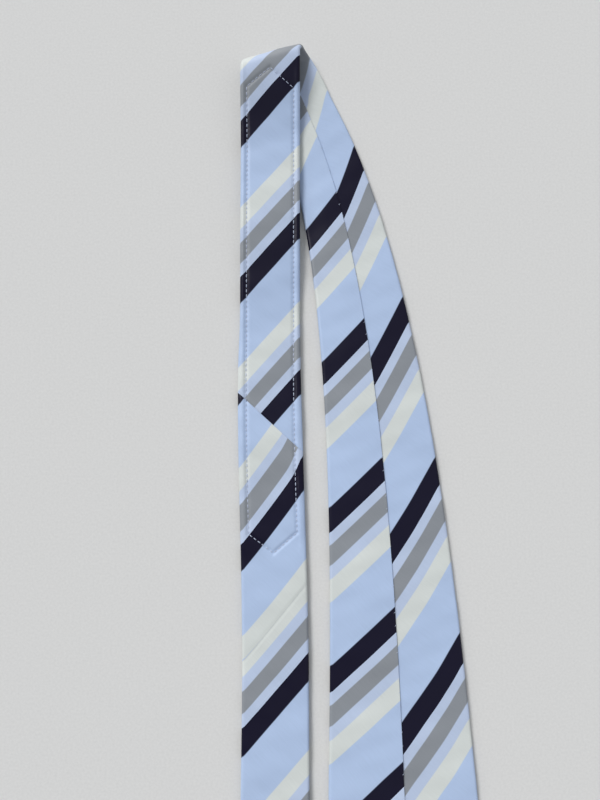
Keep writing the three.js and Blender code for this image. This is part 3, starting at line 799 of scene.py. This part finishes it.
def lining_section(half):
    """The wool's edges and faces, which make room for the tipping and the stay."""
    def section(u):
        side = float(half_width(half, u)) - LINING_INSET
        tipped = float(smooth(u - TIPPING_START[half], *TIPPING_STEP))
        stayed = float(1 - smooth(u - STAY_END, *STAY_STEP)) if half == NARROW else 0
        return -side, side, LINING_LOW + tipped * (TIPPING + GAP), LINING_TOP - stayed * (STAY + GAP)
    return section


def tipping_section(half):
    def section(u):
        side = float(half_width(half, u)) - LINING_INSET
        return -side, side, LINING_LOW, LINING_LOW + TIPPING
    return section


def stay_section(u):
    return -stay_side(u), stay_side(u), LINING_TOP - STAY, LINING_TOP


for half in (WIDE, NARROW):
    strip(NAME[half] + "_interlining_wool", half, LINING_START, LINING_END[half], lining_section(half),
          WOOL, NAME[half] + "_interlining")
    strip(NAME[half] + "_tipping_silk", half, TIPPING_START[half], LINING_END[half], tipping_section(half),
          TIPPING_SILK, NAME[half] + "_tipping")
strip("neck_stay_cloth", NARROW, LINING_START, STAY_END - 1, stay_section, WOOL,
      "neck_stay")

# ------------------------------------------------------------------------------------------- the threads
TOP_THREAD, HAND_THREAD = 0.24, 0.15  # radii
HAND_SUNK = 0.1  # how deep in the cloth a hand-sewn thread's ends lie
STITCH_GAP = 0.35  # between a topstitch's end and the hole it goes down
STITCH_SUNK, STITCH_RISE = 0.3, 0.45  # how deep its ends lie, and how far it stands out from there
SLIP_PITCH, SLIP_START = 7.5, LINING_START + 3
SLIP_STOP = 6  # from the last slip stitch to where the flaps part
SLIP_SIDE, SLIP_ACROSS, SLIP_ALONG, SLIP_RISE = 0.75, 1.35, 1.1, 0.12
SLIP_AT_EDGE = (UNDER_OUT + BACK) / 2 - 0.15, BACK - 0.02  # its heights at the over flap's edge
TACK_STEP = (SEAM_AT - 0.2, SEAM_AT + 1.2)  # where the cloth under a bar tack steps up
TACK_RISE, TACK_OVER = 0.2, 0.42
TACK_WAVER, TACK_LEAN, TACK_WRAP = 0.06, 0.25, 1.3


def arch(t, rise, power=0.5):
    """How far a thread stands out over its length, whose ends are t = 0 and 1."""
    return rise * np.sin(pi * t) ** power


def hexagon_place(run):
    """The place on the topstitch hexagon at a distance along one side of it, from its top."""
    corners = [0, STITCH_ARM, STITCH_ARM + STITCH_STRAIGHT, 2 * STITCH_ARM + STITCH_STRAIGHT]
    ds = [STITCH_TOP, STITCH_TOP + STITCH_POINT, STITCH_END - STITCH_POINT, STITCH_END]
    return np.interp(run, corners, ds), np.interp(run, corners, [0, STITCH_HALF, STITCH_HALF, 0])


def topstitches():
    """Stitches down both sides of the hexagon."""
    runs = []
    t = np.linspace(0, 1, 7)
    for side in (-1, 1):
        for k in range(int((2 * STITCH_ARM + STITCH_STRAIGHT) / PITCH)):
            d, w = hexagon_place(k * PITCH + STITCH_GAP + t * (PITCH - 2 * STITCH_GAP))
            runs.append(lay(NARROW, d, side * w, FRONT - STITCH_SUNK + arch(t, STITCH_RISE)))
    return threads("neck_topstitches", runs, TOP_THREAD)


def slip_stitches(half):
    """Short stitches that hold the over flap's edge to the under flap."""
    runs = []
    t = np.linspace(0, 1, 6)
    for at in np.arange(SLIP_START, NOTCH[half] - SLIP_STOP, SLIP_PITCH):
        w = SEAM_AT + SLIP_SIDE - SLIP_ACROSS * t
        n = np.where(w > SEAM_AT, UNDER_OUT, BACK) - arch(t, SLIP_RISE, 1) + HAND_SUNK
        n[2:4] = SLIP_AT_EDGE
        runs.append(lay(half, at + SLIP_ALONG * t, w, n))
    return threads(NAME[half] + "_slip_stitches", runs, HAND_THREAD)


def bar_tack(half):
    """Strands laid side by side across the seam, with others sewn over them."""
    runs = []
    top = NOTCH[half] - TACK_WIDTH
    t = np.linspace(0, 1, 12)
    for strand in np.linspace(0, TACK_WIDTH, 7):
        w = SEAM_AT + TACK_LENGTH * (t - 0.5)
        n = mix(BACK, UNDER_OUT, smooth(w, *TACK_STEP)) - arch(t, TACK_RISE, 0.4) + HAND_SUNK
        runs.append(lay(half, top + strand + TACK_WAVER * np.sin(9 * t + strand), w, n))
    t = np.linspace(0, 1, 7)
    above = (TACK_WRAP - 1) / 2 * TACK_WIDTH
    for w in SEAM_AT + TACK_LENGTH * np.linspace(-0.4, 0.4, 9):
        n = mix(BACK, UNDER_OUT, smooth(w, *TACK_STEP)) - arch(t, TACK_OVER) + HAND_SUNK
        runs.append(lay(half, top - above + TACK_WRAP * TACK_WIDTH * t, w + TACK_LEAN * t, n))
    return threads(NAME[half] + "_bar_tack_threads", runs, HAND_THREAD)


done(topstitches(), THREAD, ["neck_topstitch"], "narrow_half")
for half in (WIDE, NARROW):
    done(slip_stitches(half), THREAD, [NAME[half] + "_slip_stitch"], BODY[half])
    done(bar_tack(half), THREAD, [NAME[half] + "_bar_tack"], BODY[half])

# -------------------------------------------------------------------------------------- the keeper loop
KEEPER_THICK = 0.9
KEEPER_LEFT, KEEPER_RIGHT = BACK - 0.3, UNDER_OUT - 0.45  # the heights of its feet
KEEPER_TOP = BACK - KEEPER_CLEAR
KEEPER_SAG, KEEPER_PUFF = 0.25, 0.12
KEEPER_STEP, KEEPER_BEND = (-6, 6), (10.5, 20.5)  # across, where its foot height changes and it bends
KEEPER_SQUARE, KEEPER_ROUND = 0.35, 0.8  # powers that flatten its section's edges and faces
KEEPER_END, KEEPER_END_RUN, KEEPER_THIN = 0.8, 0.81, 0.1  # its ends' rounding, and how thin they get
KEEPER_TACK_SUNK, KEEPER_TACK_RISE, KEEPER_TACK_RUN = 0.12, 0.22, 3.0
KEEPER_STRIPE = 0.35  # where its stripes lie in their repeat


def keeper_height(w):
    """The height of the keeper's middle layer: its feet on the two flaps, its middle clear of them."""
    foot = mix(KEEPER_LEFT, KEEPER_RIGHT, smooth(w, *KEEPER_STEP))
    middle = KEEPER_TOP - KEEPER_SAG * (1 - (w / KEEPER_HALF) ** 2)
    return mix(middle, foot, smooth(np.abs(w), *KEEPER_BEND))


def flattened(x, power):
    """A sine or cosine made squarer, which keeps its sign."""
    return np.sign(x) * np.abs(x) ** power


def keeper_loop():
    """A flat tube of the same cloth, swept from foot to foot."""
    ws = np.linspace(-KEEPER_HALF, KEEPER_HALF, 81)
    size = 28
    turn = np.arange(size) * 2 * pi / size
    across = flattened(np.cos(turn), KEEPER_SQUARE) * KEEPER_DEPTH / 2
    deep = flattened(np.sin(turn), KEEPER_ROUND) * KEEPER_THICK / 2
    puff = KEEPER_PUFF * np.cos(pi * across / KEEPER_DEPTH) * np.sign(deep)
    points, stripe, weave = [], [], []
    for w in ws:
        end = np.sqrt(1 - np.clip((abs(w) - KEEPER_HALF + KEEPER_END) / KEEPER_END_RUN, 0, 1) ** 2)
        tilt = (keeper_height(w + 0.1) - keeper_height(w - 0.1)) / 0.2
        thick = deep * max(end, KEEPER_THIN) / hypot(1, tilt)
        points.append(lay(WIDE, KEEPER_AT + across, w - thick * tilt, keeper_height(w) + thick + puff))
        stripe.append(np.stack([(across + w) / WIDE_PERIOD + KEEPER_STRIPE, across / WEAVE_UNIT], -1))
        weave.append(np.stack([across, np.full(size, w)], -1) / WEAVE_UNIT)
    last = (len(ws) - 1) * size
    faces = tube_faces(len(ws), size).tolist()
    faces += [list(range(size))[::-1], [last + i for i in range(size)]]
    uvs = {"Stripe": np.concatenate(stripe), "Weave": np.concatenate(weave)}
    return new_mesh("keeper_loop_cloth", np.concatenate(points), faces, uvs)


def keeper_tack(name, side):
    """Three pairs of stitches through one foot of the keeper."""
    runs = []
    t = np.linspace(0, 1, 8)
    for strand in (-0.32, 0, 0.32):
        for at in (-3.4, 0.4):
            w = side * (KEEPER_HALF - KEEPER_FOOT / 2) + strand + 0.05 * np.sin(8 * t)
            n = keeper_height(w) - KEEPER_THICK / 2 + KEEPER_TACK_SUNK - arch(t, KEEPER_TACK_RISE)
            runs.append(lay(WIDE, KEEPER_AT + at + KEEPER_TACK_RUN * t, w, n))
    return threads(name, runs, HAND_THREAD)


keeper = done(keeper_loop(), SILK, ["keeper_loop"], "wide_half")
for tack, side in (("keeper_tack_left", -1), ("keeper_tack_right", 1)):
    done(keeper_tack(tack + "_threads", side), THREAD, [tack], "wide_half")

# ------------------------------------------------------------------------------------ floor, light, camera
FLOOR_BELOW = 0.55  # the cloth rests on the crests of its waves
FLOOR_REACH = 20  # metres each way
DAYLIGHT, DAYLIGHT_STRENGTH = (0.86, 0.92, 1.0, 1), 0.35
LIGHTS = [  # name, where it comes from, degrees across, strength
    ("window", (-0.8, 0.6, 1.15), 24, 1.65),
    ("low_sky", (-0.35, 0.9, 0.42), 40, 1.45),
    ("fill", (0.9, -0.5, 1.4), 80, 0.35),
]
EYE_HEIGHT, EYE_TILT = 0.386, 5.1  # metres over the ground, and degrees from straight down
LENS, SENSOR_WIDTH = 28.8, 36


def studio():
    far = FLOOR_REACH
    corners = [(-far, -far, 0), (far, -far, 0), (far, far, 0), (-far, far, 0)]
    floor = new_mesh("floor", corners, [(0, 1, 2, 3)], smooth_faces=False)
    floor.location.z = -FLOOR_BELOW / 1000
    floor.data.materials.append(floor_material())
    world = bpy.data.worlds.new("daylight")
    world.use_nodes = True
    background = world.node_tree.nodes["Background"]
    background.inputs["Color"].default_value = DAYLIGHT
    background.inputs["Strength"].default_value = DAYLIGHT_STRENGTH
    bpy.context.scene.world = world
    for name, towards, spread, strength in LIGHTS:
        light = bpy.data.lights.new(name, "SUN")
        light.angle, light.energy = radians(spread), strength
        lamp = bpy.data.objects.new(name, light)
        lamp.location = towards
        lamp.rotation_euler = Vector(towards).to_track_quat("Z", "Y").to_euler()
        bpy.context.collection.objects.link(lamp)


def camera():
    view = bpy.data.cameras.new("view")
    view.lens, view.sensor_width = LENS, SENSOR_WIDTH
    eye = bpy.data.objects.new("view", view)
    eye.location = (ORIGIN[0] / 1000, ORIGIN[1] / 1000, EYE_HEIGHT)
    eye.rotation_euler = (radians(EYE_TILT), 0, 0)
    bpy.context.collection.objects.link(eye)
    bpy.context.scene.camera = eye
    bpy.context.scene.view_settings.view_transform = "Standard"


studio()
camera()
